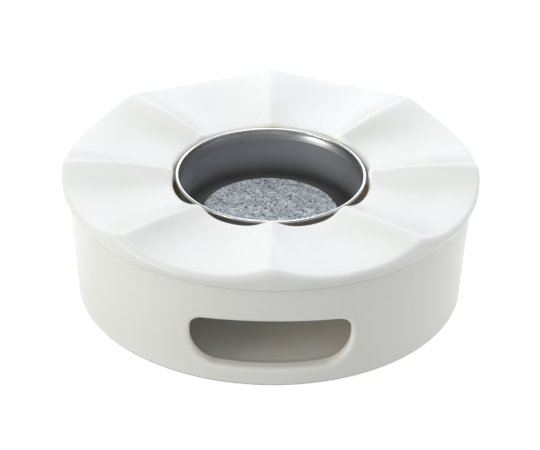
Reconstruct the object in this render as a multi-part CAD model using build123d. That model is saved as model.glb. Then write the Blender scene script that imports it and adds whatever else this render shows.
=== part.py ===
from build123d import *
import math
import os

# Hot stone heater: a porcelain drum with a window, a loose scalloped porcelain ring on top,
# a stainless cup hanging in the ring, a lava stone disc in the cup and a tea light below it.
# Millimetres, +Z up. The origin is on the table, on the drum's axis. The window faces -Y.

# ---- driving dimensions ----
# drum
FOOT_RADIUS = 116.2          # outside of the drum at table height, before the foot rounding
SEAT_RADIUS = 121.0          # outside of the drum at its top edge
SEAT_HEIGHT = 68.0           # top edge of the drum, which the ring rests on
WALL = 8.0                   # wall thickness of the drum
FLOOR_TOP = 8.0              # height of the drum's inside floor
FOOT_ROUNDING = 1.0
FLOOR_ROUNDING = 6.0         # inside corner between floor and wall
EDGE_ROUNDING = 1.5          # top edge of the drum
FOOT_RING_WIDTH = 9.0        # flat annulus that stands on the table
FOOT_RECESS = 2.0            # how far the bottom is raised inside the foot ring

# window in the drum
WINDOW_HALF_WIDTH = 46.4
WINDOW_SILL = 11.3
WINDOW_TOP = 44.4            # at the middle
WINDOW_TOP_BEND = 360.0      # radius of the slightly arched top edge
WINDOW_TOP_CORNER = 8.5
WINDOW_SILL_CORNER = 17.0
WINDOW_LIP = 3.4             # rounding of the outer rim of the window
WINDOW_INNER_LIP = 1.5

# scalloped ring
RING_RADIUS = 125.0          # at the top of the side, which leans in below
RING_FOOT_RADIUS = 123.2     # outside of the ring where it rests on the drum
RIDGES = 8
RIDGE_OUTER_TOP = 81.6       # crest height at the outer edge
RIDGE_TIP_TOP = 77.0         # crest height at the hole
VALLEY_OUTER_TOP = 75.6
VALLEY_TIP_TOP = 72.9
HOLE_RADIUS_RIDGE = 58.3
HOLE_RADIUS_VALLEY = 59.6
RIDGE_EDGE_ROUNDING = 5.0    # between top and side, at a crest
VALLEY_EDGE_ROUNDING = 3.0
RING_BOTTOM_ROUNDING = 0.8
HOLE_ROUNDING = 3.0
CREST_SOFTNESS = 0.08        # rounding of the crest, as a share of half a scallop
CREST_SHARPNESS = 2.6        # power of the fall from crest to valley
CREST_BOW = 1.0              # how far a crest's line bulges above a straight rise
VALLEY_SAG = 0.5             # how far a valley's line sags below one
FIRST_RISE = 0.36            # share of the rise that is reached at a third of the way out
SECOND_RISE = 0.74           # and at two thirds
SECOND_BOW = 0.8             # share of the bulge that is left at two thirds
TIP_SLOPE = 1.5              # slope at the hole, against the mean slope
SECTION_STATIONS = (0, 0.06, 0.14, 0.28, 0.5, 0.75, 1)  # closer together near the crest
COLLAR_DROP = 7.5            # collar round the hole, below the ring's flat underside
COLLAR_WALL = 4.0
SKIRT_DROP = 4.0             # locating skirt inside the drum's wall
SKIRT_WALL = 4.0
SKIRT_CLEARANCE = 0.6
JOIN_OVERLAP = 1.0           # how far collar and skirt run up into the ring
LUGS = 4                     # seats under every second ridge tip
LUG_WIDTH = 9.0
LUG_INNER_RADIUS = 56.3
LUG_HEIGHT = 6.0
LUG_ROUNDING = 0.4

# stainless cup
BEAD_RADIUS = 1.0            # rolled bead, centre line at BEAD_CENTRE_RADIUS
BEAD_CENTRE_RADIUS = 56.2
CUP_TOP = 74.5
CUP_SHEET = 0.8
CUP_FLARE_HEIGHT = 5.0       # flared band under the bead
CUP_FLARE = 1.4              # how much wider the cup is at the bead than below the flare
CUP_FLOOR_TOP = 37.5
CUP_CORNER = 7.0
SEAT_GAP = 0.2               # between the bead and the lugs

# lava stone
STONE_RADIUS = 41.3
STONE_THICKNESS = 10.5
STONE_CHAMFER = 0.8

# tea light
CANDLE_RADIUS = 19.0
CANDLE_HEIGHT = 15.0
CANDLE_SHEET = 0.5
WAX_HEIGHT = 12.5
WICK_RADIUS = 0.8
WICK_STAND_OUT = 4.5
TAB_RADIUS = 6.5
TAB_THICKNESS = 0.6
TAB_NECK_RADIUS = 1.6
TAB_NECK_HEIGHT = 3.0


def revolved(*edges):
    """Revolve a closed outline drawn in the radius-height plane."""
    return revolve(Plane.XZ * make_face(list(edges)), axis=Axis.Z)


def outline(*points):
    """Closed straight outline in the radius-height plane."""
    return Polyline(*points, close=True)


# ---- drum ----
def drum_radius(height):
    """Outside radius of the drum's side, which widens upwards."""
    return FOOT_RADIUS + (SEAT_RADIUS - FOOT_RADIUS) * height / SEAT_HEIGHT


def drum_blank():
    foot_outer = FOOT_RADIUS - FOOT_ROUNDING
    foot_inner = foot_outer - FOOT_RING_WIDTH
    floor_radius = drum_radius(FLOOR_TOP) - WALL
    profile = outline(
        (0, FOOT_RECESS),
        (foot_inner - FOOT_RECESS, FOOT_RECESS),
        (foot_inner, 0),
        (FOOT_RADIUS, 0),
        (SEAT_RADIUS, SEAT_HEIGHT),
        (SEAT_RADIUS - WALL, SEAT_HEIGHT),
        (floor_radius, FLOOR_TOP),
        (0, FLOOR_TOP),
    )
    face = make_face(profile)

    def corner(radius, height):
        return min(face.vertices(), key=lambda v: math.hypot(v.X - radius, v.Y - height))

    face = fillet(corner(floor_radius, FLOOR_TOP), FLOOR_ROUNDING)
    face = fillet([corner(SEAT_RADIUS, SEAT_HEIGHT), corner(SEAT_RADIUS - WALL, SEAT_HEIGHT)], EDGE_ROUNDING)
    face = fillet(corner(FOOT_RADIUS, 0), FOOT_ROUNDING)
    return revolve(Plane.XZ * face, axis=Axis.Z)


def window_face():
    """The window's outline, drawn with its width along X and its height along Y."""
    wide = WINDOW_HALF_WIDTH
    bend_height = WINDOW_TOP - WINDOW_TOP_BEND
    corner_x = wide - WINDOW_TOP_CORNER
    reach = WINDOW_TOP_BEND - WINDOW_TOP_CORNER
    corner_height = bend_height + math.sqrt(reach**2 - corner_x**2)
    shoulder_x = corner_x * WINDOW_TOP_BEND / reach
    shoulder_height = bend_height + (corner_height - bend_height) * WINDOW_TOP_BEND / reach
    heel = wide - WINDOW_SILL_CORNER
    knee = WINDOW_SILL + WINDOW_SILL_CORNER
    left_shoulder = (-shoulder_x, shoulder_height)
    right_shoulder = (shoulder_x, shoulder_height)
    top = ThreePointArc(left_shoulder, (0, WINDOW_TOP), right_shoulder)
    right_top = RadiusArc(right_shoulder, (wide, corner_height), WINDOW_TOP_CORNER)
    right_side = Line((wide, corner_height), (wide, knee))
    right_sill = RadiusArc((wide, knee), (heel, WINDOW_SILL), WINDOW_SILL_CORNER)
    sill = Line((heel, WINDOW_SILL), (-heel, WINDOW_SILL))
    left_sill = RadiusArc((-heel, WINDOW_SILL), (-wide, knee), WINDOW_SILL_CORNER)
    left_side = Line((-wide, knee), (-wide, corner_height))
    left_top = RadiusArc((-wide, corner_height), left_shoulder, WINDOW_TOP_CORNER)
    edges = [top, right_top, right_side, right_sill, sill, left_sill, left_side, left_top]
    return make_face(edges)


def base_drum():
    drum = drum_blank()
    cutter = extrude(Plane.XZ * window_face(), amount=SEAT_RADIUS + WALL)
    drum = drum - cutter
    middle = (WINDOW_SILL + WINDOW_TOP) / 2

    def rim_edges(radius):
        """Edges of the window that lie on the wall face near this radius."""
        found = []
        for edge in drum.edges():
            centre = edge.center()
            near_axis = abs(centre.X) < WINDOW_HALF_WIDTH + WINDOW_LIP and centre.Y < 0
            in_height = WINDOW_SILL - WINDOW_LIP < centre.Z < WINDOW_TOP + WINDOW_LIP
            reach = math.hypot(centre.X, centre.Y) - (drum_radius(centre.Z) - drum_radius(middle))
            if near_axis and in_height and abs(reach - radius) < WALL / 3:
                found.append(edge)
        return found

    drum = fillet(rim_edges(drum_radius(middle)), WINDOW_LIP)
    drum = fillet(rim_edges(drum_radius(middle) - WALL), WINDOW_INNER_LIP)
    return drum


# ---- scalloped ring ----
def crest_share(fraction):
    """1 on the crest, 0 in the valley, for the fraction of half a scallop away from the crest."""
    soft = CREST_SOFTNESS
    travelled = (math.hypot(fraction, soft) - soft) / (math.hypot(1, soft) - soft)
    return (1 - travelled) ** CREST_SHARPNESS


def ring_section(fraction):
    """Section of the ring at this fraction of the way from a crest to a valley."""
    crest = crest_share(fraction)
    hole = HOLE_RADIUS_VALLEY + (HOLE_RADIUS_RIDGE - HOLE_RADIUS_VALLEY) * crest
    tip = VALLEY_TIP_TOP + (RIDGE_TIP_TOP - VALLEY_TIP_TOP) * crest
    rise = VALLEY_OUTER_TOP + (RIDGE_OUTER_TOP - VALLEY_OUTER_TOP) * crest
    edge = VALLEY_EDGE_ROUNDING + (RIDGE_EDGE_ROUNDING - VALLEY_EDGE_ROUNDING) * crest
    start = hole + HOLE_ROUNDING
    end = RING_RADIUS - edge
    bow = CREST_BOW * crest - VALLEY_SAG * (1 - crest)
    third = (end - start) / 3
    top_points = [
        (start, tip),
        (start + third, tip + (rise - tip) * FIRST_RISE + bow),
        (start + 2 * third, tip + (rise - tip) * SECOND_RISE + bow * SECOND_BOW),
        (end, rise),
    ]
    inner_slope = TIP_SLOPE * (rise - tip) / (end - start)
    seat = SEAT_HEIGHT
    hole_corner = JernArc((hole, tip - HOLE_ROUNDING), (0, 1), HOLE_ROUNDING, -90)
    top = Spline(*top_points, tangents=[(1, inner_slope), (1, 0)])
    outer_corner = JernArc((end, rise), (1, 0), edge, -90)
    side_foot = (RING_FOOT_RADIUS, seat + RING_BOTTOM_ROUNDING)
    side = Line((RING_RADIUS, rise - edge), side_foot)
    lower_corner = JernArc(side_foot, (0, -1), RING_BOTTOM_ROUNDING, -90)
    underside = Line((RING_FOOT_RADIUS - RING_BOTTOM_ROUNDING, seat), (hole, seat))
    hole_wall = Line((hole, seat), (hole, tip - HOLE_ROUNDING))
    return make_face([hole_corner, top, outer_corner, side, lower_corner, underside, hole_wall])


def half_scallop():
    """The ring between a crest on +X and the valley beside it."""
    half_angle = 180 / RIDGES
    faces = []
    for fraction in SECTION_STATIONS:
        turn = Plane.XZ.rotated((0, 0, half_angle * fraction))
        faces.append(turn * ring_section(fraction))
    return loft(faces)


def lug():
    """Seat for the cup's bead, under a ridge tip on +X."""
    top = CUP_TOP - 2 * BEAD_RADIUS - SEAT_GAP
    reach = HOLE_RADIUS_VALLEY + COLLAR_WALL / 2 - LUG_INNER_RADIUS
    centre = Location((LUG_INNER_RADIUS + reach / 2, 0, top - LUG_HEIGHT / 2))
    block = centre * Box(reach, LUG_WIDTH, LUG_HEIGHT)
    return fillet(block.edges().sort_by(Axis.X)[:4], LUG_ROUNDING)


def top_ring():
    half = half_scallop()
    scallop = half + mirror(half, about=Plane.XZ)
    ring = scallop
    for index in range(1, RIDGES):
        ring = ring + Rotation(0, 0, 360 / RIDGES * index) * scallop
    collar_out = HOLE_RADIUS_VALLEY + COLLAR_WALL
    collar = revolved(outline(
        (HOLE_RADIUS_VALLEY, SEAT_HEIGHT - COLLAR_DROP),
        (collar_out, SEAT_HEIGHT - COLLAR_DROP),
        (collar_out, SEAT_HEIGHT + JOIN_OVERLAP),
        (HOLE_RADIUS_VALLEY, SEAT_HEIGHT + JOIN_OVERLAP),
    ))
    skirt_out = SEAT_RADIUS - WALL - SKIRT_CLEARANCE
    skirt = revolved(outline(
        (skirt_out - SKIRT_WALL, SEAT_HEIGHT - SKIRT_DROP),
        (skirt_out - SKIRT_CLEARANCE, SEAT_HEIGHT - SKIRT_DROP),
        (skirt_out, SEAT_HEIGHT + JOIN_OVERLAP),
        (skirt_out - SKIRT_WALL, SEAT_HEIGHT + JOIN_OVERLAP),
    ))
    ring = ring + collar + skirt
    for index in range(LUGS):
        ring = ring + Rotation(0, 0, 360 / RIDGES + 360 / LUGS * index) * lug()
    return ring.clean()


# ---- stainless cup ----
def steel_cup():
    inner = BEAD_CENTRE_RADIUS - BEAD_RADIUS
    bead_height = CUP_TOP - BEAD_RADIUS
    flare_foot = bead_height - CUP_FLARE_HEIGHT
    wall = inner - CUP_FLARE
    floor = CUP_FLOOR_TOP
    sheet = CUP_SHEET
    face = make_face(outline(
        (0, floor - sheet),
        (wall + sheet, floor - sheet),
        (wall + sheet, flare_foot),
        (inner + sheet, bead_height),
        (inner, bead_height),
        (wall, flare_foot),
        (wall, floor),
        (0, floor),
    ))

    def corner(radius, height):
        return min(face.vertices(), key=lambda v: math.hypot(v.X - radius, v.Y - height))

    face = fillet(corner(wall + sheet, floor - sheet), CUP_CORNER + sheet)
    face = fillet(corner(wall, floor), CUP_CORNER)
    shell = revolve(Plane.XZ * face, axis=Axis.Z)
    bead = Location((0, 0, bead_height)) * Torus(BEAD_CENTRE_RADIUS, BEAD_RADIUS)
    return shell + bead


# ---- lava stone ----
def lava_stone():
    disc = Cylinder(STONE_RADIUS, STONE_THICKNESS, align=(Align.CENTER, Align.CENTER, Align.MIN))
    disc = chamfer(disc.edges().filter_by(GeomType.CIRCLE), STONE_CHAMFER)
    return Location((0, 0, CUP_FLOOR_TOP)) * disc


# ---- tea light ----
def candle_cup():
    low = FLOOR_TOP
    return revolved(outline(
        (0, low),
        (CANDLE_RADIUS, low),
        (CANDLE_RADIUS, low + CANDLE_HEIGHT),
        (CANDLE_RADIUS - CANDLE_SHEET, low + CANDLE_HEIGHT),
        (CANDLE_RADIUS - CANDLE_SHEET, low + CANDLE_SHEET),
        (0, low + CANDLE_SHEET),
    ))


def wick_tab():
    low = FLOOR_TOP + CANDLE_SHEET
    return revolved(outline(
        (WICK_RADIUS, low),
        (TAB_RADIUS, low),
        (TAB_RADIUS, low + TAB_THICKNESS),
        (TAB_NECK_RADIUS, low + TAB_THICKNESS),
        (TAB_NECK_RADIUS, low + TAB_NECK_HEIGHT),
        (WICK_RADIUS, low + TAB_NECK_HEIGHT),
    ))


def candle_wick():
    low = FLOOR_TOP + CANDLE_SHEET
    height = WAX_HEIGHT + WICK_STAND_OUT
    rod = Cylinder(WICK_RADIUS, height, align=(Align.CENTER, Align.CENTER, Align.MIN))
    return Location((0, 0, low)) * rod


def candle_wax():
    low = FLOOR_TOP + CANDLE_SHEET
    body = Cylinder(CANDLE_RADIUS - CANDLE_SHEET, WAX_HEIGHT, align=(Align.CENTER, Align.CENTER, Align.MIN))
    return Location((0, 0, low)) * body - wick_tab() - candle_wick()


PARTS = {
    "base_drum": base_drum,
    "top_ring": top_ring,
    "steel_cup": steel_cup,
    "lava_stone": lava_stone,
    "candle_cup": candle_cup,
    "candle_wax": candle_wax,
    "candle_wick": candle_wick,
    "wick_tab": wick_tab,
}

os.makedirs("parts", exist_ok=True)
for node, make in PARTS.items():
    export_step(make(), f"parts/{node}.step")
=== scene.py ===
import math

import bpy
from mathutils import Matrix, Vector, noise


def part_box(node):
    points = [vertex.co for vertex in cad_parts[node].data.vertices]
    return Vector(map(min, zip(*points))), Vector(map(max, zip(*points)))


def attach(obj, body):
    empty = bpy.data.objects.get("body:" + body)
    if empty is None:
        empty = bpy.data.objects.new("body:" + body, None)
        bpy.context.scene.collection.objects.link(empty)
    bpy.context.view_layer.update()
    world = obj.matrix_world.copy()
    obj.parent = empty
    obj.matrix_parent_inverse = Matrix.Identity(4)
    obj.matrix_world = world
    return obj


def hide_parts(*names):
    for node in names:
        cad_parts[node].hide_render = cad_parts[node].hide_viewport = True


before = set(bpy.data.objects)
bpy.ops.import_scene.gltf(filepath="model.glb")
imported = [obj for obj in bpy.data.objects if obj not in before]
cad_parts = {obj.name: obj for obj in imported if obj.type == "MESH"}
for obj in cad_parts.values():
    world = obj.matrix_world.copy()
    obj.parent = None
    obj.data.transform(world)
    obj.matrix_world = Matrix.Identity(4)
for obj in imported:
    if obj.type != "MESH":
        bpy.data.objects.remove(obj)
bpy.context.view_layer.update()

MM = 0.001
HAIR = 0.002  # keeps the visual model just inside the CAD box

# ---- sizes read from the frame, in millimetres ----
RING_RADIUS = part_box("top_ring")[1].x / MM
RIDGE_OUTER_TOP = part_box("top_ring")[1].z / MM - HAIR
COLLAR_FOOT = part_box("top_ring")[0].z / MM
SEAT_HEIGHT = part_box("base_drum")[1].z / MM
CUP_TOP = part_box("steel_cup")[1].z / MM
CUP_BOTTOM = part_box("steel_cup")[0].z / MM
BEAD_OUTER_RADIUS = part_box("steel_cup")[1].x / MM
STONE_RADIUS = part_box("lava_stone")[1].x / MM
STONE_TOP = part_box("lava_stone")[1].z / MM
STONE_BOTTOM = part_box("lava_stone")[0].z / MM
CANDLE_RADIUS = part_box("candle_cup")[1].x / MM
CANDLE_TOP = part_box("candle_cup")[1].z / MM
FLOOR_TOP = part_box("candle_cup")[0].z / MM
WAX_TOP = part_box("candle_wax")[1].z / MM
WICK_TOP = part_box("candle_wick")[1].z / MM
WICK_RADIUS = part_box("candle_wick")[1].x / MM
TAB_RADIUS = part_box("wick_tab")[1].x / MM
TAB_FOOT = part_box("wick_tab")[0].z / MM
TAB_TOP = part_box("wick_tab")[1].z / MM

# ---- drum ----
FOOT_RADIUS = 116.2
SEAT_RADIUS = 121.0
WALL = 8.0
FOOT_ROUNDING = 1.0
FLOOR_ROUNDING = 6.0
EDGE_ROUNDING = 1.5
FOOT_RING_WIDTH = 9.0
FOOT_RECESS = 2.0
CONTACT_SHADE_HEIGHT = 1.2  # height above the table up to which the outside is dark clay: bare foot and painted contact shade
WINDOW_HALF_WIDTH = 46.4
WINDOW_SILL = 11.3
WINDOW_TOP = 44.4
WINDOW_TOP_BEND = 360.0
WINDOW_TOP_CORNER = 8.5
WINDOW_SILL_CORNER = 17.0
WINDOW_LIP = 3.4
WINDOW_INNER_LIP = 1.5
LIP_FOOT = FLOOR_TOP + 0.7  # the window's lip goes no lower than this

# ---- how finely the drum is divided ----
AXIS_HOLE = 0.01  # radius of the innermost row, round the point in the middle
DRUM_COLUMNS = 480
PATCH_HALF = 40  # columns on each side of the window's middle that belong to the patch round it
PATCH_ROWS = 26
PATCH_RINGS = 10
PATCH_FOOT_OUTSIDE = 4.2
PATCH_FOOT_INSIDE = FLOOR_TOP + 0.6
PATCH_TOP = 58.0

# ---- ring ----
RIDGES = 8
RIDGE_TIP_TOP = 77.0
VALLEY_OUTER_TOP = 75.6
VALLEY_TIP_TOP = 72.9
HOLE_RADIUS_RIDGE = 58.3
HOLE_RADIUS_VALLEY = 59.6
RING_FOOT_RADIUS = 123.2
RIDGE_EDGE_ROUNDING = 5.0
VALLEY_EDGE_ROUNDING = 3.0
RING_BOTTOM_ROUNDING = 0.8
HOLE_ROUNDING = 3.0
RIDGE_SOFTNESS = 0.08
RIDGE_SHARPNESS = 2.6
RIDGE_BOW = 1.0
VALLEY_SAG = 0.5
FIRST_RISE = 0.36
SECOND_RISE = 0.74
SECOND_BOW = 0.8
TIP_SLOPE = 1.5
SIDE_STEPS = 34  # steps from a ridge to the middle of a valley
SIDE_CROWDING = 1.4  # above 1, the steps are closer together near the ridge
COLLAR_WALL = 4.0
SKIRT_DROP = 4.0
SKIRT_WALL = 4.0
SKIRT_CLEARANCE = 0.6
LUG_HALF_ANGLE = math.radians(4.5)
LUG_INNER_RADIUS = 56.3
LUG_HEIGHT = 6.0
LUG_BEVEL = 0.4
SEAT_GAP = 0.2
PAINTED_LIGHT_WIDTH = 2.0  # distance from the hole over which the painted light fades out

# ---- cup ----
BEAD_RADIUS = 1.0
CUP_SHEET = 0.8
CUP_FLARE_HEIGHT = 5.0
CUP_FLARE = 1.4
CUP_CORNER = 7.0
CUP_FLARE_BEND = 2.0
CURL_START = -78
CURL_END = 180
CURL_STEPS = 24

# ---- stone ----
STONE_FOOT_ROUNDING = 0.9
STONE_EDGE_ROUNDING = 1.0
PORE_WIDTH = 1.7
SMALL_PORE_WIDTH = 0.9
PORE_DEPTH = 0.35
GRAIN_WIDTH = 2.2
GRAIN_DEPTH = 0.06
WAVE_WIDTH = 9
WAVE_DEPTH = 0.12

# ---- tea light ----
FOIL_SHEET = 0.35
FOIL_RIM = 0.35
FOIL_DISH = 0.4  # height of the raised middle of its bottom
FLUTES = 72
FLUTE_DEPTH = 0.12
FLUTE_MARGIN = 1.5  # plain height under and over the flutes
WAX_EDGE = CANDLE_RADIUS - FOIL_RIM - FOIL_SHEET + 0.05
WAX_DIP = 0.7
WICK_SUNK = 2.0  # length of the wick below the wax
WICK_ROWS = 60
WICK_STRANDS = 3
WICK_TURNS = 7
TAB_STEP = 0.5  # height of the tab's flat brim
TAB_BEAD = 0.9  # height of the bead pressed into it, from the foot


# ======== mesh helpers ========
def rounded(corners, step=3.0, arc_steps=8):
    """Points along straight runs between (x, y, rounding) corners, with an arc at each rounded one."""
    points = []
    for index, (x, y, rounding) in enumerate(corners):
        here = Vector((x, y))
        if rounding == 0:
            points.append(here)
            continue
        before = (Vector(corners[index - 1][:2]) - here).normalized()
        after = (Vector(corners[index + 1][:2]) - here).normalized()
        half = before.angle(after) / 2
        centre = here + (before + after).normalized() * rounding / math.sin(half)
        start = here + before * rounding / math.tan(half) - centre
        end = here + after * rounding / math.tan(half) - centre
        turn = math.atan2(start.x * end.y - start.y * end.x, start.dot(end))
        for k in range(arc_steps + 1):
            spin = Matrix.Rotation(turn * k / arc_steps, 2)
            points.append(centre + spin @ start)
    spaced = points[:1]
    for a, b in zip(points, points[1:]):
        count = max(1, math.ceil((b - a).length / step))
        spaced.extend(a.lerp(b, k / count) for k in range(1, count + 1))
    return spaced


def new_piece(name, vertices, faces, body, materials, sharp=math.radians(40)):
    """A smooth-shaded piece in metres from points in millimetres."""
    mesh = bpy.data.meshes.new(name)
    mesh.from_pydata([Vector(v) * MM for v in vertices], [], faces)
    mesh.validate()
    mesh.polygons.foreach_set("use_smooth", [True] * len(mesh.polygons))
    mesh.set_sharp_from_angle(angle=sharp)
    for material in materials:
        mesh.materials.append(material)
    piece = bpy.data.objects.new(name, mesh)
    bpy.context.scene.collection.objects.link(piece)
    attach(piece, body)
    return piece


def wall_faces(lower, upper):
    """Quads between two closed rows of vertex numbers."""
    count = len(lower)
    return [(lower[i], lower[(i + 1) % count], upper[(i + 1) % count], upper[i]) for i in range(count)]


def spun(profile, columns, shape=None):
    """Vertices and faces of a profile turned round Z. shape may move each point (radius, angle, height)."""
    vertices, faces, rows = [], [], []
    for radius, height in profile:
        if radius < 1e-6:
            rows.append([len(vertices)])
            vertices.append((0, 0, height))
            continue
        rows.append(list(range(len(vertices), len(vertices) + columns)))
        for i in range(columns):
            angle = math.tau * i / columns
            r, z = shape(radius, angle, height) if shape else (radius, height)
            vertices.append((r * math.cos(angle), r * math.sin(angle), z))
    for a, b in zip(rows, rows[1:]):
        if len(a) == 1:
            faces += [(a[0], b[(i + 1) % columns], b[i]) for i in range(columns)]
        elif len(b) == 1:
            faces += [(a[i], a[(i + 1) % columns], b[0]) for i in range(columns)]
        else:
            faces += wall_faces(a, b)
    return vertices, faces


# ======== material helpers ========
class Nodes:
    """A new material and short ways to add and join its nodes."""

    def __init__(self, name):
        self.material = bpy.data.materials.new(name)
        self.material.use_nodes = True
        self.tree = self.material.node_tree
        self.shader = self.tree.nodes["Principled BSDF"]
        self.place = self.tree.nodes.new("ShaderNodeTexCoord").outputs["Object"]

    def add(self, kind, **sockets):
        """A new node, with each named input fed."""
        node = self.tree.nodes.new(kind)
        for key, value in sockets.items():
            self.feed(node.inputs[key.replace("_", " ")], value)
        return node

    def feed(self, socket, value):
        """Joins another node's socket to an input, or sets the input to a plain value."""
        if isinstance(value, bpy.types.NodeSocket):
            self.tree.links.new(value, socket)
        else:
            socket.default_value = value

    def noise(self, scale, detail=3.0, roughness=0.5, place=None):
        node = self.add("ShaderNodeTexNoise", Scale=scale, Detail=detail, Roughness=roughness)
        self.feed(node.inputs["Vector"], place or self.place)
        return node.outputs["Fac"]

    def spots(self, scale):
        """Distance from the middle of scattered spots, in shares of a cell."""
        return self.add("ShaderNodeTexVoronoi", Vector=self.place, Scale=scale).outputs["Distance"]

    def ramp(self, value, stops):
        """A colour that runs through (position, colour) stops."""
        node = self.add("ShaderNodeValToRGB", Fac=value)
        elements = node.color_ramp.elements
        while len(elements) < len(stops):
            elements.new(0.5)
        for element, (position, colour) in zip(elements, stops):
            element.position = position
            element.color = (*colour, 1)
        return node.outputs["Color"]

    def fit(self, value, low, high, new_low, new_high):
        """value moved from one range to another, and held at its ends."""
        node = self.add("ShaderNodeMapRange")
        for socket, number in zip(node.inputs, (value, low, high, new_low, new_high)):
            self.feed(socket, number)
        return node.outputs["Result"]

    def math(self, operation, a, b):
        node = self.tree.nodes.new("ShaderNodeMath")
        node.operation = operation
        self.feed(node.inputs[0], a)
        self.feed(node.inputs[1], b)
        return node.outputs["Value"]

    def mix(self, share, a, b):
        """Colour a where share is 0 and b where it is 1."""
        node = self.tree.nodes.new("ShaderNodeMix")
        node.data_type = "RGBA"
        self.feed(node.inputs["Factor"], share)
        self.feed(node.inputs["A"], a if isinstance(a, bpy.types.NodeSocket) else (*a, 1))
        self.feed(node.inputs["B"], b if isinstance(b, bpy.types.NodeSocket) else (*b, 1))
        return node.outputs["Result"]

    def axis(self, name):
        return self.add("ShaderNodeSeparateXYZ", Vector=self.place).outputs[name]

    def bump(self, height, distance, strength):
        """Fine relief in the shading: distance is in metres."""
        node = self.add("ShaderNodeBump", Height=height, Distance=distance, Strength=strength)
        self.feed(self.shader.inputs["Normal"], node.outputs["Normal"])

    def set(self, **sockets):
        """Feeds the shader's own named inputs."""
        for key, value in sockets.items():
            self.feed(self.shader.inputs[key.replace("_", " ")], value)


# ======== materials ========
def glaze(name, thick, thin):
    """Soft-gloss white glaze: faint clouding, pinholes and an orange-peel surface.

    Where the painted-light attribute is 1, the colour is painted whiter and the glaze glows faintly: painted
    light, not a lamp.
    """
    m = Nodes(name)
    cloud = m.noise(14.0, 4.0)
    pinholes = m.ramp(m.noise(900.0, 2.0), [(0.24, (0, 0, 0)), (0.3, (1, 1, 1))])
    body = m.mix(m.fit(cloud, 0.35, 0.65, 0.0, 1.0), thick, thin)
    speck = m.mix(pinholes, tuple(0.86 * c for c in thick), body)
    # Painted light: where this attribute is 1 the colour turns whiter and the glaze glows faintly, though it
    # is no lamp.
    painted_light = m.add("ShaderNodeAttribute")
    painted_light.attribute_name = "painted_light"
    colour = m.mix(painted_light.outputs["Fac"], speck, (0.97, 0.955, 0.9))
    m.set(Base_Color=colour, Roughness=m.fit(m.noise(60.0, 3.0), 0.3, 0.7, 0.3, 0.38))
    m.set(IOR=1.36, Coat_Weight=0.08, Coat_Roughness=0.2)
    painted_glow = m.math("MULTIPLY", painted_light.outputs["Fac"], 0.07)
    m.set(Emission_Color=(1.0, 0.98, 0.93, 1.0), Emission_Strength=painted_glow)
    peel = m.math("ADD", m.noise(220.0, 2.0), m.math("MULTIPLY", m.noise(35.0, 2.0), 2.0))
    m.bump(peel, 0.0001, 0.35)
    return m.material


def bisque(name):
    """Inside of the drum: thinner, drier glaze, warmer up the wall, with painted light on the floor, which
    is a brighter bluish white.

    A faint warm painted glow, growing towards +X, stands in for light that comes through the porcelain.
    """
    m = Nodes(name)
    # Painted light: the floor is painted a brighter bluish white than the wall above it.
    painted_floor_light = m.mix(m.fit(m.noise(22.0, 5.0), 0.3, 0.7, 0.0, 1.0), (0.95, 0.965, 0.95), (0.98, 0.99, 0.98))
    warm = m.mix(m.fit(m.noise(30.0, 5.0), 0.3, 0.7, 0.0, 1.0), (0.9, 0.81, 0.62), (0.93, 0.845, 0.67))
    spread = m.math("ADD", m.axis("Z"), m.math("MULTIPLY", m.noise(40.0, 3.0), 0.006))
    body = m.mix(m.fit(spread, 0.01, 0.018, 0.0, 1.0), painted_floor_light, warm)
    m.set(Base_Color=body, Roughness=m.fit(m.noise(80.0, 3.0), 0.3, 0.7, 0.5, 0.65))
    # Painted glow, not a lamp: emission growing towards +X.
    painted_warm_glow = m.fit(m.axis("X"), -0.02, 0.06, 0.0, 0.03)
    m.set(Emission_Color=(1.0, 0.8, 0.5, 1.0), Emission_Strength=painted_warm_glow)
    m.bump(m.noise(300.0, 4.0), 0.0002, 0.4)
    return m.material


def clay_and_contact_shade(name, dark, light):
    """Unglazed clay where the pieces stand, made dark as painted contact shade."""
    m = Nodes(name)
    body = m.mix(m.fit(m.noise(500.0, 5.0), 0.3, 0.7, 0.0, 1.0), dark, light)
    m.set(Base_Color=body, Roughness=0.85)
    m.bump(m.noise(900.0, 4.0), 0.0002, 0.6)
    return m.material


def spun_steel(name):
    """Satin stainless sheet finished on a lathe: fine rings round the axis, and smoother under the bead.
    Its colour is painted lighter under the bead as a painted highlight and darker towards the floor as
    painted shade."""
    m = Nodes(name)
    stretch = m.add("ShaderNodeMapping", Vector=m.place, Scale=(1, 1, 40))
    rings = m.noise(260.0, 3.0, 0.6, stretch.outputs["Vector"])
    uneven = m.math("MULTIPLY", m.math("SUBTRACT", m.noise(60.0, 4.0), 0.5), 0.003)
    height = m.math("ADD", m.axis("Z"), uneven)
    foot, top = CUP_BOTTOM * MM, CUP_TOP * MM
    band = (CUP_TOP - BEAD_RADIUS - CUP_FLARE_HEIGHT) * MM
    # Painted shade and highlight: dark at the floor, lighter and darker bands up the wall, and a light band
    # under the bead.
    painted_shade_and_highlight = m.ramp(m.fit(height, foot, top, 0.0, 1.0), [
        (0.0, (0.1, 0.1, 0.102)),
        (0.18, (0.3, 0.305, 0.31)),
        (0.36, (0.6, 0.61, 0.63)),
        (0.6, (0.55, 0.565, 0.585)),
        (0.83, (0.42, 0.43, 0.445)),
        (0.89, (0.4, 0.4, 0.4)),
        (0.97, (0.7, 0.7, 0.69)),
    ])
    smear = m.fit(m.noise(45.0, 3.0), 0.3, 0.7, 0.0, 0.2)
    m.set(Base_Color=m.mix(smear, painted_shade_and_highlight, (0.3, 0.3, 0.31)), Metallic=1.0)
    shine = m.fit(height, band - 0.001, band + 0.004, 0.58, 0.24)
    m.set(Roughness=m.math("ADD", shine, m.fit(rings, 0.25, 0.75, -0.05, 0.05)))
    m.bump(rings, 0.00005, 0.2)
    return m.material


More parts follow.
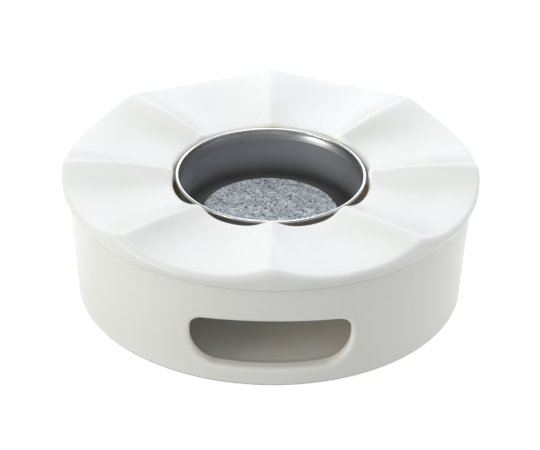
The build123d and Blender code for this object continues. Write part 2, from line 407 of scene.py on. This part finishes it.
def lava(name):
    """Sawn lava stone: blue grey with light and dark grains, and pores darkened with painted shade."""
    m = Nodes(name)
    cloud = m.fit(m.noise(150.0, 4.0, 0.65), 0.38, 0.62, 0.0, 1.0)
    base = m.mix(cloud, (0.49, 0.53, 0.57), (0.78, 0.825, 0.87))
    fine = m.fit(m.noise(950.0, 2.0, 0.6), 0.42, 0.58, 0.0, 1.0)
    body = m.mix(fine, m.mix(0.7, base, (0.1, 0.115, 0.13)), base)
    light = m.ramp(m.spots(560.0), [(0.12, (1, 1, 1)), (0.22, (0, 0, 0))])
    body = m.mix(light, body, (0.92, 0.95, 0.97))
    dark = m.ramp(m.spots(260.0), [(0.17, (1, 1, 1)), (0.23, (0, 0, 0))])
    body = m.mix(dark, body, (0.03, 0.035, 0.045))
    # Painted shade in the pits: this attribute darkens them nearly to black.
    pore_shade = m.add("ShaderNodeAttribute")
    pore_shade.attribute_name = "pore_shade"
    m.set(Base_Color=m.mix(pore_shade.outputs["Fac"], body, (0.03, 0.033, 0.04)))
    m.set(Roughness=m.fit(fine, 0.0, 1.0, 0.9, 0.7))
    m.bump(m.noise(1400.0, 4.0), 0.0002, 0.7)
    return m.material


def foil(name):
    """Thin drawn aluminium."""
    m = Nodes(name)
    stretch = m.add("ShaderNodeMapping", Vector=m.place, Scale=(1, 1, 0.15))
    wrinkle = m.noise(700.0, 3.0, 0.5, stretch.outputs["Vector"])
    m.set(Base_Color=m.mix(m.noise(90.0), (0.72, 0.72, 0.73), (0.82, 0.82, 0.83)), Metallic=1.0)
    m.set(Roughness=m.fit(wrinkle, 0.3, 0.7, 0.22, 0.4))
    m.bump(wrinkle, 0.0001, 0.4)
    return m.material


def wax(name):
    """Paraffin: milky, a little translucent, with faint cooling clouds."""
    m = Nodes(name)
    m.set(Base_Color=m.mix(m.noise(160.0, 4.0), (0.86, 0.84, 0.78), (0.93, 0.92, 0.88)))
    m.set(Roughness=m.fit(m.noise(300.0), 0.3, 0.7, 0.35, 0.55), Subsurface_Weight=0.3)
    m.shader.inputs["Subsurface Scale"].default_value = 0.004
    m.bump(m.noise(400.0, 3.0), 0.0001, 0.5)
    return m.material


def cotton(name):
    """Waxed cotton braid."""
    m = Nodes(name)
    m.set(Base_Color=m.mix(m.noise(2500.0, 3.0), (0.7, 0.66, 0.56), (0.86, 0.83, 0.75)), Roughness=0.75)
    m.bump(m.noise(3000.0, 3.0), 0.0001, 0.6)
    return m.material


def tinplate(name):
    """Tinned sheet with a mottled crystal pattern."""
    m = Nodes(name)
    m.set(Base_Color=m.mix(m.noise(400.0, 3.0), (0.5, 0.5, 0.5), (0.62, 0.62, 0.61)), Metallic=1.0)
    m.set(Roughness=m.fit(m.noise(900.0, 3.0), 0.3, 0.7, 0.25, 0.45))
    return m.material


# ======== drum ========
def outer_radius(height):
    """Outside radius of the drum, which widens evenly from foot to seat."""
    return FOOT_RADIUS + (SEAT_RADIUS - FOOT_RADIUS) * height / SEAT_HEIGHT


def inner_radius(height):
    """Inside radius of the drum, with the rounding between floor and wall."""
    wall = outer_radius(height) - WALL
    into = FLOOR_TOP + FLOOR_ROUNDING - height
    if into <= 0:
        return wall
    return wall - FLOOR_ROUNDING + math.sqrt(max(FLOOR_ROUNDING**2 - into**2, 0))


def window_outline():
    """Points (x, z) and outward directions round the window, from its lower left corner, as four sides."""
    wide = WINDOW_HALF_WIDTH
    bend = WINDOW_TOP - WINDOW_TOP_BEND
    reach = WINDOW_TOP_BEND - WINDOW_TOP_CORNER
    eave_x = wide - WINDOW_TOP_CORNER
    eave_z = bend + math.sqrt(reach**2 - eave_x**2)
    tilt = math.asin(eave_x / reach)
    heel_x = wide - WINDOW_SILL_CORNER
    heel_z = WINDOW_SILL + WINDOW_SILL_CORNER

    def arc(x, z, radius, start, end, count):
        """count steps round a centre, from one angle in degrees to another."""
        out = []
        for k in range(count + 1):
            angle = math.radians(start + (end - start) * k / count)
            way = Vector((math.cos(angle), math.sin(angle)))
            out.append((Vector((x, z)) + way * radius, way))
        return out

    def run(a, b, way, count):
        """count steps along a straight line, all facing the same way."""
        return [(Vector(a).lerp(Vector(b), k / count), Vector(way)) for k in range(count + 1)]

    slope = math.degrees(tilt)
    sill = arc(-heel_x, heel_z, WINDOW_SILL_CORNER, 225, 270, 20)
    sill += run((-heel_x, WINDOW_SILL), (heel_x, WINDOW_SILL), (0, -1), 40)
    sill += arc(heel_x, heel_z, WINDOW_SILL_CORNER, 270, 315, 20)
    right = arc(heel_x, heel_z, WINDOW_SILL_CORNER, 315, 360, 20)
    right += run((wide, heel_z), (wide, eave_z), (1, 0), 6)
    right += arc(eave_x, eave_z, WINDOW_TOP_CORNER, 0, 45, 16)
    top = arc(eave_x, eave_z, WINDOW_TOP_CORNER, 45, 90 - slope, 16)
    top += arc(0, bend, WINDOW_TOP_BEND, 90 - slope, 90 + slope, 60)
    top += arc(-eave_x, eave_z, WINDOW_TOP_CORNER, 90 + slope, 135, 16)
    left = arc(-eave_x, eave_z, WINDOW_TOP_CORNER, 135, 180, 16)
    left += run((-wide, eave_z), (-wide, heel_z), (-1, 0), 6)
    left += arc(-heel_x, heel_z, WINDOW_SILL_CORNER, 180, 225, 20)
    return sill, right, top, left


def evenly(side, count):
    """count points at even spacing along one side of the window, without the last."""
    lengths = [0.0]
    for (a, _), (b, _) in zip(side, side[1:]):
        lengths.append(lengths[-1] + (b - a).length)
    out = []
    for k in range(count):
        wanted = lengths[-1] * k / count
        index = max(i for i, length in enumerate(lengths) if length <= wanted + 1e-9)
        index = min(index, len(side) - 2)
        share = (wanted - lengths[index]) / max(lengths[index + 1] - lengths[index], 1e-9)
        (a, way_a), (b, way_b) = side[index], side[index + 1]
        out.append((a.lerp(b, share), way_a.lerp(way_b, share).normalized()))
    return out


class Shell:
    """Vertices and faces gathered while the drum is built. Angles count from the middle of the window."""

    def __init__(self):
        self.vertices = []
        self.faces = []

    def point(self, x, y, z):
        """A new vertex. Returns its number."""
        self.vertices.append((x, y, z))
        return len(self.vertices) - 1

    def turned(self, radius, angle, height):
        """A new vertex at an angle round the axis. Returns its number."""
        return self.point(radius * math.sin(angle), -radius * math.cos(angle), height)

    def row(self, radius, height):
        """New vertices all round the axis. Returns their numbers."""
        return [self.turned(radius, math.tau * i / DRUM_COLUMNS, height) for i in range(DRUM_COLUMNS)]

    def join(self, rows):
        """Faces between each row and the next."""
        for a, b in zip(rows, rows[1:]):
            self.faces += wall_faces(a, b)

    def wall(self, radius_at, lower_row, upper_row, low):
        """The rows of one wall between two finished rows, lowest first."""
        rows = [lower_row]
        for k in range(1, PATCH_ROWS):
            height = low + (PATCH_TOP - low) * k / PATCH_ROWS
            rows.append(self.row(radius_at(height), height))
        rows.append(upper_row)
        return rows


def drum_profiles():
    """(radius, height) lines of the drum: under its foot, over its seat and across its floor."""
    foot_inner = FOOT_RADIUS - FOOT_ROUNDING - FOOT_RING_WIDTH
    under = rounded([
        (AXIS_HOLE, FOOT_RECESS, 0),
        (foot_inner - FOOT_RECESS, FOOT_RECESS, 0.6),
        (foot_inner, HAIR, 0.4),
        (FOOT_RADIUS, HAIR, FOOT_ROUNDING),
        (outer_radius(PATCH_FOOT_OUTSIDE), PATCH_FOOT_OUTSIDE, 0),
    ])
    over = rounded([
        (outer_radius(PATCH_TOP), PATCH_TOP, 0),
        (SEAT_RADIUS, SEAT_HEIGHT, EDGE_ROUNDING),
        (SEAT_RADIUS - WALL, SEAT_HEIGHT, EDGE_ROUNDING),
        (inner_radius(PATCH_TOP), PATCH_TOP, 0),
    ])
    floor_edge = inner_radius(PATCH_FOOT_INSIDE)
    floor = rounded([
        (floor_edge, PATCH_FOOT_INSIDE, 0),
        (floor_edge - 4, FLOOR_TOP, 3),
        (AXIS_HOLE, FLOOR_TOP, 0),
    ])
    return under, over, floor


def in_patch(column):
    """Whether a column of faces belongs to the patch round the window."""
    return column < PATCH_HALF or column >= DRUM_COLUMNS - PATCH_HALF


def patch_border(rows):
    """Vertex numbers round the patch, from its lower left corner, like the window's outline."""
    span = [i % DRUM_COLUMNS for i in range(-PATCH_HALF, PATCH_HALF + 1)]
    sill = [rows[0][i] for i in span[:-1]]
    right = [row[span[-1]] for row in rows[:-1]]
    top = [rows[-1][i] for i in reversed(span[1:])]
    left = [row[span[0]] for row in reversed(rows[1:])]
    return sill + right + top + left


def wall_front(radius_at, x, z):
    """The point with this x and z on the front of a wall."""
    return Vector((x, -math.sqrt(radius_at(z) ** 2 - x**2), z))


def lip_rings(shell, radius_at, outline, lip, side, count):
    """Rings of the lip, from the wall's face to the passage. side is -1 outside and 1 inside."""
    pull = 0.71  # weight of the corner that bends each line of the lip into a quarter circle
    rings = []
    for k in range(count + 1):
        t = k / count
        ring = []
        for point, way in outline:
            off = point + way * lip
            start = wall_front(radius_at, off.x, max(off.y, LIP_FOOT))
            corner = wall_front(radius_at, point.x, point.y)
            end = corner + Vector((0, -side * lip, 0))
            weight = (1 - t) ** 2 + 2 * t * (1 - t) * pull + t**2
            spot = (start * (1 - t) ** 2 + corner * 2 * t * (1 - t) * pull + end * t**2) / weight
            ring.append(shell.point(*spot))
        rings.append(ring)
    return rings


def patch_rings(shell, radius_at, edge, lip_ring):
    """Rings from the patch's border to the lip."""
    rings = [edge]
    for k in range(1, PATCH_RINGS):
        share = 1 - k / PATCH_RINGS
        ring = []
        for outer, inner in zip(edge, lip_ring):
            far, near = Vector(shell.vertices[outer]), Vector(shell.vertices[inner])
            far_angle = math.atan2(far.x, -far.y)
            near_angle = math.atan2(near.x, -near.y)
            height = near.z + (far.z - near.z) * share
            angle = near_angle + (far_angle - near_angle) * share
            ring.append(shell.turned(radius_at(height), angle, height))
        rings.append(ring)
    return rings


def drum_mesh():
    """The drum with its window: rows round the axis, with a patch of rings round the window in each wall.

    Returns the vertices, the faces, and (vertex number, share) for the painted light on the window's lip.
    """
    shell = Shell()
    under, over, floor = ([shell.row(r, z) for r, z in profile] for profile in drum_profiles())
    for rows in (under, over, floor):
        shell.join(rows)
    bottom_centre = shell.point(0, 0, FOOT_RECESS)
    floor_centre = shell.point(0, 0, FLOOR_TOP)
    after = [(i + 1) % DRUM_COLUMNS for i in range(DRUM_COLUMNS)]
    shell.faces += [(bottom_centre, under[0][j], under[0][i]) for i, j in enumerate(after)]
    shell.faces += [(floor[-1][i], floor[-1][j], floor_centre) for i, j in enumerate(after)]

    outer_rows = shell.wall(outer_radius, under[-1], over[0], PATCH_FOOT_OUTSIDE)
    inner_rows = shell.wall(inner_radius, floor[0], over[-1], PATCH_FOOT_INSIDE)
    for rows, order in ((outer_rows, 1), (inner_rows, -1)):
        for a, b in zip(rows, rows[1:]):
            shell.faces += [q[::order] for i, q in enumerate(wall_faces(a, b)) if not in_patch(i)]

    sill, right, top, left = window_outline()
    across, up = 2 * PATCH_HALF, PATCH_ROWS
    outline = evenly(sill, across) + evenly(right, up) + evenly(top, across) + evenly(left, up)
    outer_lip = lip_rings(shell, outer_radius, outline, WINDOW_LIP, -1, 10)
    inner_lip = lip_rings(shell, inner_radius, outline, WINDOW_INNER_LIP, 1, 5)
    outer_patch = patch_rings(shell, outer_radius, patch_border(outer_rows), outer_lip[0])
    inner_patch = patch_rings(shell, inner_radius, patch_border(inner_rows), inner_lip[0])
    shell.join(outer_patch + outer_lip + inner_lip[::-1] + inner_patch[::-1])

    # Shares of painted light on the lip rings, rising towards the passage.
    painted_light_points = [(number, k / len(outer_lip)) for k, ring in enumerate(outer_lip) for number in ring]
    painted_light_points += [(number, 1.0) for ring in inner_lip for number in ring]
    return shell.vertices, shell.faces, painted_light_points


def build_drum():
    """The drum, glazed outside, drier inside, and bare where it stands, with a dark band of painted contact
    shade along the table.
    """
    inside, bare_and_shaded = 1, 2  # places in the list of materials
    vertices, faces, painted_light_points = drum_mesh()
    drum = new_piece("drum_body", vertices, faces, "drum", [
        glaze("drum_glaze", (0.835, 0.84, 0.795), (0.865, 0.87, 0.83)),
        bisque("drum_inside"),
        clay_and_contact_shade("drum_foot_and_contact_shade", (0.44, 0.43, 0.4), (0.54, 0.53, 0.5)),
    ])
    # Painted light on the window's lip: whiter colour and a faint glow.
    painted_light = drum.data.attributes.new("painted_light", "FLOAT", "POINT")
    for number, share in painted_light_points:
        painted_light.data[number].value = share
    for face in drum.data.polygons:
        x, y, z = (c / MM for c in face.center)
        reach = math.hypot(x, y)
        underneath = z < FOOT_RECESS + 0.5 and reach < FOOT_RADIUS - FOOT_ROUNDING
        # Painted contact shade: the lowest band of the outside takes the dark clay, as does the real bare
        # underside.
        if z < CONTACT_SHADE_HEIGHT or underneath:
            face.material_index = bare_and_shaded
        elif FLOOR_TOP - 0.5 < z < SEAT_HEIGHT - EDGE_ROUNDING and reach < inner_radius(z) + 1.2:
            face.material_index = inside
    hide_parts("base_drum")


# ======== ring ========
def ridge_share(fraction):
    """1 on a ridge, 0 in a valley, for the fraction of the way from one to the other."""
    soft = RIDGE_SOFTNESS
    travelled = (math.hypot(fraction, soft) - soft) / (math.hypot(1, soft) - soft)
    return (1 - travelled) ** RIDGE_SHARPNESS


def ring_top(tip, rise, bow):
    """Height of the top against the way out from hole (0) to edge (1).

    It is a cubic spline through two shoulders, a third and two thirds of the way out, and level at the edge.
    The two middle slopes solve 4 s1 + s2 = first and s1 + 4 s2 = second.
    """
    run = rise - tip
    knots = (tip, tip + run * FIRST_RISE + bow, tip + run * SECOND_RISE + bow * SECOND_BOW, rise)
    start = TIP_SLOPE * run
    first = 9 * (knots[2] - knots[0]) - start
    second = 9 * (knots[3] - knots[1])
    slopes = (start, (4 * first - second) / 15, (4 * second - first) / 15, 0)

    def height(way):
        k = min(int(3 * way), 2)
        t = 3 * way - k
        rise_part = (3 - 2 * t) * t**2
        lead_in, lead_out = t * (1 - t) ** 2, t**2 * (t - 1)
        bend = (slopes[k] * lead_in + slopes[k + 1] * lead_out) / 3
        return knots[k] + (knots[k + 1] - knots[k]) * rise_part + bend

    return height


def ring_section(ridge, lug):
    """Closed (radius, height) outline of the ring, from the collar up the hole and outwards.

    ridge is 1 on a ridge and 0 in a valley. lug says whether the section runs through a lug.
    """
    hole = HOLE_RADIUS_VALLEY + (HOLE_RADIUS_RIDGE - HOLE_RADIUS_VALLEY) * ridge
    tip = VALLEY_TIP_TOP + (RIDGE_TIP_TOP - VALLEY_TIP_TOP) * ridge
    rise = VALLEY_OUTER_TOP + (RIDGE_OUTER_TOP - VALLEY_OUTER_TOP) * ridge
    start = hole + HOLE_ROUNDING
    edge = VALLEY_EDGE_ROUNDING + (RIDGE_EDGE_ROUNDING - VALLEY_EDGE_ROUNDING) * ridge
    end = RING_RADIUS - edge
    top = ring_top(tip, rise, RIDGE_BOW * ridge - VALLEY_SAG * (1 - ridge))
    seat = SEAT_HEIGHT
    lug_top = CUP_TOP - 2 * BEAD_RADIUS - SEAT_GAP
    lug_foot = lug_top - LUG_HEIGHT
    shoulder = min(tip - HOLE_ROUNDING, lug_top)
    lower = LUG_INNER_RADIUS if lug else HOLE_RADIUS_VALLEY
    upper = LUG_INNER_RADIUS if lug else hole
    points = [
        (HOLE_RADIUS_VALLEY, COLLAR_FOOT + 0.5),
        (HOLE_RADIUS_VALLEY, lug_foot - 0.1),
        (lower, lug_foot),
        (lower, seat - 0.2),
        (upper, seat),
        (upper, shoulder - LUG_BEVEL),
        (upper + LUG_BEVEL if lug else hole, shoulder - 0.05),
    ]

    def arc(x, z, radius, first, last, count):
        """count steps round a centre, from one angle in degrees to another."""
        turns = (math.radians(first + (last - first) * k / count) for k in range(count + 1))
        return [(x + radius * math.cos(a), z + radius * math.sin(a)) for a in turns]

    points += arc(start, tip - HOLE_ROUNDING, HOLE_ROUNDING, 180, 90, 8)
    top_steps = 40
    for k in range(1, top_steps):
        points.append((start + (end - start) * k / top_steps, top(k / top_steps)))
    points += arc(end, rise - edge, edge, 90, 0, 12)
    side_top = Vector((RING_RADIUS, rise - edge))
    side_foot = Vector((RING_FOOT_RADIUS, seat + RING_BOTTOM_ROUNDING))
    edge_steps = 6
    points += [tuple(side_top.lerp(side_foot, k / edge_steps)) for k in range(1, edge_steps)]
    points += arc(side_foot.x - RING_BOTTOM_ROUNDING, side_foot.y, RING_BOTTOM_ROUNDING, 0, -90, 5)
    skirt_out = SEAT_RADIUS - WALL - SKIRT_CLEARANCE
    collar_out = HOLE_RADIUS_VALLEY + COLLAR_WALL
    below = rounded([
        (skirt_out + 3, seat, 0),
        (skirt_out, seat, 0.3),
        (skirt_out - SKIRT_CLEARANCE, seat - SKIRT_DROP, 0.8),
        (skirt_out - SKIRT_WALL, seat - SKIRT_DROP, 0.8),
        (skirt_out - SKIRT_WALL, seat, 1.0),
        (collar_out, seat, 1.0),
        (collar_out, COLLAR_FOOT, 0.8),
        (HOLE_RADIUS_VALLEY + 0.5, COLLAR_FOOT, 0),
    ], step=4.0, arc_steps=4)
    return points + [tuple(p) for p in below]


def ring_angles():
    """(angle, fraction of the way from ridge to valley, ridge number), all round the ring."""
    half = math.pi / RIDGES
    out = []
    for ridge in range(RIDGES):
        middle = ridge * 2 * half
        for k in range(-SIDE_STEPS, SIDE_STEPS):
            fraction = abs(k / SIDE_STEPS) ** SIDE_CROWDING
            out.append((middle + math.copysign(fraction, k) * half, fraction, ridge))
    return out


def build_ring():
    """The loose ring, with a lug under every second ridge and bare clay, dark as painted contact shade,
    where it sits on the drum.
    """
    bare_and_shaded = 1  # its place in the list of materials
    vertices, rows = [], []
    for angle, fraction, ridge in ring_angles():
        lug = ridge % 2 == 1 and fraction * math.pi / RIDGES < LUG_HALF_ANGLE
        section = ring_section(ridge_share(fraction), lug)
        rows.append(list(range(len(vertices), len(vertices) + len(section))))
        vertices += [(r * math.cos(angle), r * math.sin(angle), z) for r, z in section]
    faces = []
    for a, b in zip(rows, rows[1:] + rows[:1]):
        faces += wall_faces(b, a)
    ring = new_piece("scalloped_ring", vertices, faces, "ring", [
        glaze("ring_glaze", (0.855, 0.86, 0.825), (0.885, 0.89, 0.86)),
        clay_and_contact_shade("ring_foot_and_contact_shade", (0.42, 0.4, 0.36), (0.52, 0.49, 0.44)),
    ])
    for face in ring.data.polygons:
        x, y, z = (c / MM for c in face.center)
        # Painted contact shade: the dark clay draws the seam line under the ring's edge.
        if z < SEAT_HEIGHT + 0.7 * RING_BOTTOM_ROUNDING and math.hypot(x, y) > SEAT_RADIUS - WALL:
            face.material_index = bare_and_shaded
    # Painted light round the hole: whiter colour and a faint glow, fading out away from it.
    painted_light = ring.data.attributes.new("painted_light", "FLOAT", "POINT")
    for number, (x, y, z) in enumerate(vertices):
        beyond = math.hypot(x, y) - HOLE_RADIUS_VALLEY
        painted_light.data[number].value = min(1.0, max(0.0, 1 - beyond / PAINTED_LIGHT_WIDTH))
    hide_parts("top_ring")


# ======== cup ========
def build_cup():
    """The cup: outside wall, curled bead and inside wall in one outline."""
    inner = BEAD_OUTER_RADIUS - 2 * BEAD_RADIUS
    wall = inner - CUP_FLARE
    floor = CUP_BOTTOM + CUP_SHEET
    bead_height = CUP_TOP - BEAD_RADIUS
    flare_foot = bead_height - CUP_FLARE_HEIGHT
    bead_centre = inner + BEAD_RADIUS
    outside = rounded([
        (0, CUP_BOTTOM, 0),
        (wall + CUP_SHEET, CUP_BOTTOM, CUP_CORNER + CUP_SHEET),
        (wall + CUP_SHEET, flare_foot, CUP_FLARE_BEND),
        (inner + CUP_SHEET, bead_height - 0.9, 0),
    ], step=2.0)
    curl = []
    for k in range(CURL_STEPS + 1):
        angle = math.radians(CURL_START + (CURL_END - CURL_START) * k / CURL_STEPS)
        radius = bead_centre + BEAD_RADIUS * math.cos(angle)
        curl.append(Vector((radius, bead_height + BEAD_RADIUS * math.sin(angle))))
    inside = rounded([
        (inner, bead_height - 0.2, 0),
        (wall, flare_foot, CUP_FLARE_BEND),
        (wall, floor, CUP_CORNER),
        (0, floor, 0),
    ], step=2.0)
    vertices, faces = spun(outside + curl + inside, 360)
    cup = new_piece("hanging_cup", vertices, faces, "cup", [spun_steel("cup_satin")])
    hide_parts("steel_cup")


# ======== stone ========
def build_stone():
    """The sawn disc, with real pits in its top and side. An attribute darkens them with painted shade."""
    profile = rounded([
        (0, STONE_BOTTOM, 0),
        (STONE_RADIUS, STONE_BOTTOM, STONE_FOOT_ROUNDING),
        (STONE_RADIUS, STONE_TOP, STONE_EDGE_ROUNDING),
        (0, STONE_TOP, 0),
    ], step=0.45, arc_steps=6)
    elsewhere = Vector((7, 3, 1))  # takes the small pores from another place in the noise
    pores = []

    def pitted(r, angle, z):
        spot = Vector((r * math.cos(angle), r * math.sin(angle), z))
        large = noise.noise(spot / PORE_WIDTH)
        small = noise.noise(spot / SMALL_PORE_WIDTH + elsewhere)
        depth = min(max((large * 0.7 + small * 0.5 - 0.44) / 0.12, 0), 1)
        pores.append(depth)
        uneven = WAVE_DEPTH * noise.noise(spot / WAVE_WIDTH)
        inward = PORE_DEPTH * depth + GRAIN_DEPTH * (1 + noise.noise(spot / GRAIN_WIDTH))
        if z > STONE_TOP - 0.01:
            return r, z - inward
        if z < STONE_BOTTOM + 0.01:
            return r, z
        return r - inward - 0.1 - uneven, z

    vertices, faces = spun(profile, 640, pitted)
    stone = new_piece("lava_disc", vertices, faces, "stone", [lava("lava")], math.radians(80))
    shade = stone.data.attributes.new("pore_shade", "FLOAT", "POINT")
    shade.data.foreach_set("value", [0.0] + pores + [0.0])
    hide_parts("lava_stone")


# ======== tea light ========
def build_candle_cup():
    """The drawn foil cup, with a rolled rim and fine flutes."""
    lip = CANDLE_RADIUS - FOIL_RIM - FOIL_SHEET
    profile = rounded([
        (0, FLOOR_TOP + FOIL_DISH, 0),
        (CANDLE_RADIUS - 3.5, FLOOR_TOP + FOIL_DISH, 0.5),
        (CANDLE_RADIUS - 3.0, FLOOR_TOP, 0.3),
        (CANDLE_RADIUS - 0.6, FLOOR_TOP, 0.9),
        (CANDLE_RADIUS - FOIL_RIM, CANDLE_TOP - 0.8, 0.2),
        (CANDLE_RADIUS, CANDLE_TOP - FOIL_RIM, 0.2),
        (CANDLE_RADIUS - 0.1, CANDLE_TOP, 0.1),
        (lip, CANDLE_TOP - 0.5, 0.3),
        (lip, WAX_TOP - 1.5, 0),
    ], step=1.0, arc_steps=4)

    def fluted(r, angle, z):
        low, high = FLOOR_TOP + FLUTE_MARGIN, CANDLE_TOP - FLUTE_MARGIN
        share = max(0.0, min(z - low, high - z, 1.0))
        return r - FLUTE_DEPTH / 2 * share * (1 - math.cos(FLUTES * angle)), z

    vertices, faces = spun(profile, 6 * FLUTES, fluted)
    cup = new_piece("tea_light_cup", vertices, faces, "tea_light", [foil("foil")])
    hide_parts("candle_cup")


def build_wax():
    """The wax, sunk a little between the foil and the wick."""
    profile = rounded([
        (WAX_EDGE, WAX_TOP - 2.0, 0),
        (WAX_EDGE, WAX_TOP, 0.3),
        (WAX_EDGE - 2.2, WAX_TOP - WAX_DIP, 2.0),
        (4.0, WAX_TOP - WAX_DIP, 1.5),
        (WICK_RADIUS * 0.6, WAX_TOP - 0.25, 0),
    ], step=0.8, arc_steps=6)
    vertices, faces = spun(profile, 240)
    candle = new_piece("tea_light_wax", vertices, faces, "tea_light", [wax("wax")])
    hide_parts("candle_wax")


def build_wick():
    """The wick, plaited from strands that wind round it."""
    profile = [(0.001, WAX_TOP - WICK_SUNK)]
    for k in range(WICK_ROWS + 1):
        height = WAX_TOP - WICK_SUNK + (WICK_TOP - WAX_TOP + WICK_SUNK - 0.15) * k / WICK_ROWS
        profile.append((WICK_RADIUS, height))
    profile += [(WICK_RADIUS * 0.8, WICK_TOP - 0.03), (0, WICK_TOP)]

    def braided(r, angle, z):
        twist = math.tau * WICK_TURNS * (z - WAX_TOP) / (WICK_TOP - WAX_TOP)
        lobe = abs(math.cos(WICK_STRANDS * angle / 2 + twist / 2))
        return r * (0.72 + 0.28 * lobe), z

    vertices, faces = spun(profile, 48, braided)
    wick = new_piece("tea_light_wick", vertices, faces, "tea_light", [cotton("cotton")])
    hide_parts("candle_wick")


def build_wick_tab():
    """The tinned tab: a flat brim with a pressed bead, and a short neck round the wick."""
    brim = TAB_FOOT + TAB_STEP
    bead = TAB_FOOT + TAB_BEAD
    profile = rounded([
        (0, TAB_FOOT, 0),
        (TAB_RADIUS, TAB_FOOT, 0.1),
        (TAB_RADIUS, brim, 0.1),
        (TAB_RADIUS - 1.4, brim, 0.5),
        (TAB_RADIUS - 2.0, bead, 0.4),
        (TAB_RADIUS - 3.2, bead, 0.4),
        (TAB_RADIUS - 3.8, brim, 0.2),
        (WICK_RADIUS + 0.6, brim, 0.3),
        (WICK_RADIUS + 0.4, TAB_TOP, 0.1),
        (WICK_RADIUS + 0.05, TAB_TOP, 0),
    ], step=0.5, arc_steps=4)
    vertices, faces = spun(profile, 96)
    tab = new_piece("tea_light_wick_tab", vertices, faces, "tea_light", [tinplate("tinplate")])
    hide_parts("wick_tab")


# ======== room, camera and light ========
def build_floor():
    """A wide pale floor. It shows in reflections, but doesn't light matt surfaces."""
    size = 40.0
    mesh = bpy.data.meshes.new("floor")
    corners = [(-size, -size, 0), (size, -size, 0), (size, size, 0), (-size, size, 0)]
    mesh.from_pydata(corners, [], [(0, 1, 2, 3)])
    floor = bpy.data.objects.new("floor", mesh)
    bpy.context.scene.collection.objects.link(floor)
    m = Nodes("floor")
    m.set(Base_Color=(0.9, 0.9, 0.9, 1), Roughness=0.9)
    m.set(Emission_Color=(1, 1, 1, 1), Emission_Strength=0.55)
    mesh.materials.append(m.material)
    floor.visible_diffuse = False


def build_camera():
    """The camera, looking down at the front of the object from a long way off."""
    elevation = math.radians(30.7)
    roll = math.radians(0.9)
    azimuth = math.radians(-0.6)
    distance = 1.6
    target = Vector((0.0, 0.0, 0.0384))
    back = Vector((0, -math.cos(elevation), math.sin(elevation)))
    back.rotate(Matrix.Rotation(azimuth, 3, "Z"))
    camera = bpy.data.objects.new("camera", bpy.data.cameras.new("camera"))
    camera.data.sensor_width = 36.0
    camera.data.lens = 176.2
    look = (-back).to_track_quat("-Z", "Y").to_matrix()
    spin = Matrix.Rotation(roll, 3, "Z")
    camera.matrix_world = Matrix.Translation(target + back * distance) @ (look @ spin).to_4x4()
    bpy.context.scene.collection.objects.link(camera)
    bpy.context.scene.camera = camera


def area_light(name, place, target, size, power, colour=(1, 1, 1)):
    """A rectangular light at place, turned towards target."""
    light = bpy.data.lights.new(name, "AREA")
    light.shape = "RECTANGLE"
    light.size, light.size_y = size
    light.energy = power
    light.color = colour
    lamp = bpy.data.objects.new(name, light)
    lamp.location = place
    way = Vector(target) - Vector(place)
    lamp.rotation_euler = way.to_track_quat("-Z", "Y").to_euler()
    bpy.context.scene.collection.objects.link(lamp)


def build_light():
    """An even pale surrounding and five soft lights, of which the one behind is the main one."""
    scene = bpy.context.scene
    world = bpy.data.worlds.new("studio")
    world.use_nodes = True
    background = world.node_tree.nodes["Background"]
    background.inputs["Color"].default_value = (1, 1, 1, 1)
    background.inputs["Strength"].default_value = 0.385
    scene.world = world
    area_light("backdrop", (0.17, 1.15, 0.75), (0, 0, 0.07), (1.8, 0.9), 10.0, (0.9, 0.94, 1.0))
    area_light("overhead", (0.08, 0.2, 1.3), (0, 0, 0.07), (0.9, 0.6), 5.1, (0.93, 0.955, 1.0))
    area_light("key", (-0.65, -0.55, 1.05), (0, 0, 0.03), (0.7, 0.5), 0.8, (1.0, 0.99, 0.97))
    area_light("left_box", (-1.05, -0.62, 0.24), (0, 0, 0.03), (0.6, 0.3), 5.9, (1.0, 0.99, 0.97))
    area_light("right_box", (1.1, -0.5, 0.045), (0, 0, 0.045), (0.5, 0.08), 3.0)
    scene.view_settings.view_transform = "Standard"


build_drum()
build_ring()
build_cup()
build_stone()
build_candle_cup()
build_wax()
build_wick()
build_wick_tab()
build_floor()
build_camera()
build_light()
